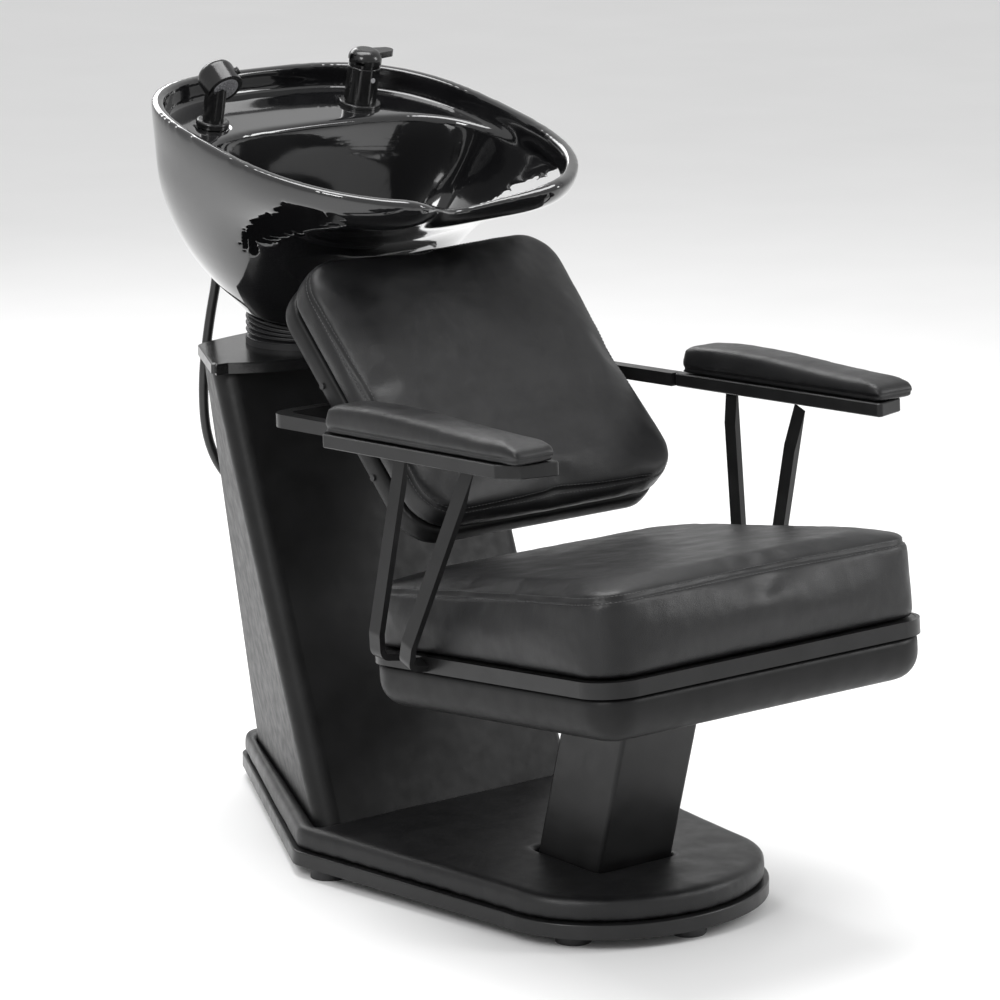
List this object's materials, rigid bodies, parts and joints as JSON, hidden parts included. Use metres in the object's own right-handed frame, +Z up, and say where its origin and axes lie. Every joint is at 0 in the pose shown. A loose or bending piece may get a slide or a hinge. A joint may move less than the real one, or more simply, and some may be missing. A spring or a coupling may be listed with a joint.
{
  "type": "shampoo backwash unit",
  "caption": "Hair salon backwash unit: padded reclined seat with arms on a platform, joined to a tower that carries a tilting wash bowl with mixer and hand spray.",
  "frame": {"origin": "on the floor under the middle of the whole unit, at the bottom of the feet", "axes": "+Z up, -Y the way the sitter faces, +X the sitter's left, which is the mixer's side"},
  "size_m": [0.616, 1.0172, 0.9666],
  "materials": {
    "leather_black": "satin fine-grain leatherette",
    "base_cover": "satin fine-grain leatherette",
    "board": "black lacquered board",
    "shell_black": "satin moulded",
    "cap_black": "gloss",
    "metal_black": "satin powder coat",
    "screws": "black zinc",
    "rubber_black": "matt moulded rubber",
    "ceramic_black": "gloss glazed ceramic",
    "tap_black": "gloss",
    "tap_metal": "gloss black",
    "plug_grey": "satin",
    "spray_grey": "matt",
    "drain_steel": "polished",
    "pipes_plastic": "matt",
    "pipes_copper": "drawn",
    "hose_black": "ribbed"
  },
  "bodies": {
    "stand": {"arm_screws": "screws", "back_brackets": "metal_black", "back_cushion": "leather_black", "back_screws": "screws", "back_shell": "shell_black", "back_side_screws": "screws", "base_board": "board", "base_pad": "base_cover", "boot": "rubber_black", "boot_collar": "rubber_black", "column": "metal_black", "column_bolts": "screws", "column_flange": "metal_black", "column_top_plate": "metal_black", "feet": "rubber_black", "left_arm_pad": "leather_black", "left_arm_plate": "metal_black", "left_front_strut": "metal_black", "left_rear_strut": "metal_black", "lower_bracket": "metal_black", "panel_screws": "screws", "rear_panel": "shell_black", "rear_yoke": "metal_black", "right_arm_pad": "leather_black", "right_arm_plate": "metal_black", "right_front_strut": "metal_black", "right_rear_strut": "metal_black", "seat_band": "metal_black", "seat_board": "board", "seat_bolts": "screws", "seat_cushion": "leather_black", "seat_pan": "shell_black", "supply_pipes": "pipes_copper", "tilt_pins": "screws", "tower_cap": "cap_black", "tower_post": "shell_black", "tower_shell": "shell_black", "waste_pipe": "pipes_plastic"},
    "bowl_body": {"bowl": "ceramic_black", "upper_bracket": "metal_black", "drain_flange": "drain_steel", "drain_nut": "pipes_plastic", "drain_tailpiece": "pipes_plastic", "mixer_ring": "tap_black", "mixer_body": "tap_metal", "mixer_nut": "tap_metal", "mixer_plug": "plug_grey", "mixer_tails": "pipes_copper", "spray_sleeve": "tap_black", "sleeve_nut": "tap_metal", "spray_hose": "hose_black"},
    "strainer": {"drain_strainer": "drain_steel"},
    "stem": {"mixer_stem": "tap_metal", "lever_pin": "screws"},
    "lever": {"mixer_lever": "tap_black"},
    "hand_spray": {"handset": "tap_black", "spray_face": "spray_grey"},
    "button": {"spray_button": "tap_black"}
  },
  "joints": [
    {"name": "bowl_tilt", "type": "hinge", "parent": "stand", "child": "bowl_body", "pos_m": [0, 0.3521, 0.625], "axis": [1, 0, 0], "range_deg": [-8, 2], "deforming": ["boot"]},
    {"name": "strainer_lift", "type": "slide", "parent": "bowl_body", "child": "strainer", "axis": [0, -0.1959, 0.9806], "range_m": [0, 0.03]},
    {"name": "mixer_swivel", "type": "hinge", "parent": "bowl_body", "child": "stem", "pos_m": [0.105, 0.41709, 0.88578], "axis": [0, -0.1959, 0.9806], "range_deg": [-50, 50]},
    {"name": "mixer_lift", "type": "hinge", "parent": "stem", "child": "lever", "pos_m": [0.091, 0.40461, 0.94824], "axis": [0, -0.9806, -0.1959], "range_deg": [0, 18]},
    {"name": "spray_pull", "type": "slide", "parent": "bowl_body", "child": "hand_spray", "axis": [0, -0.1959, 0.9806], "range_m": [0, 0.08]},
    {"name": "spray_press", "type": "slide", "parent": "hand_spray", "child": "button", "axis": [-0.7413, 0.425, -0.5195], "range_m": [0, 0.003]}
  ]
}
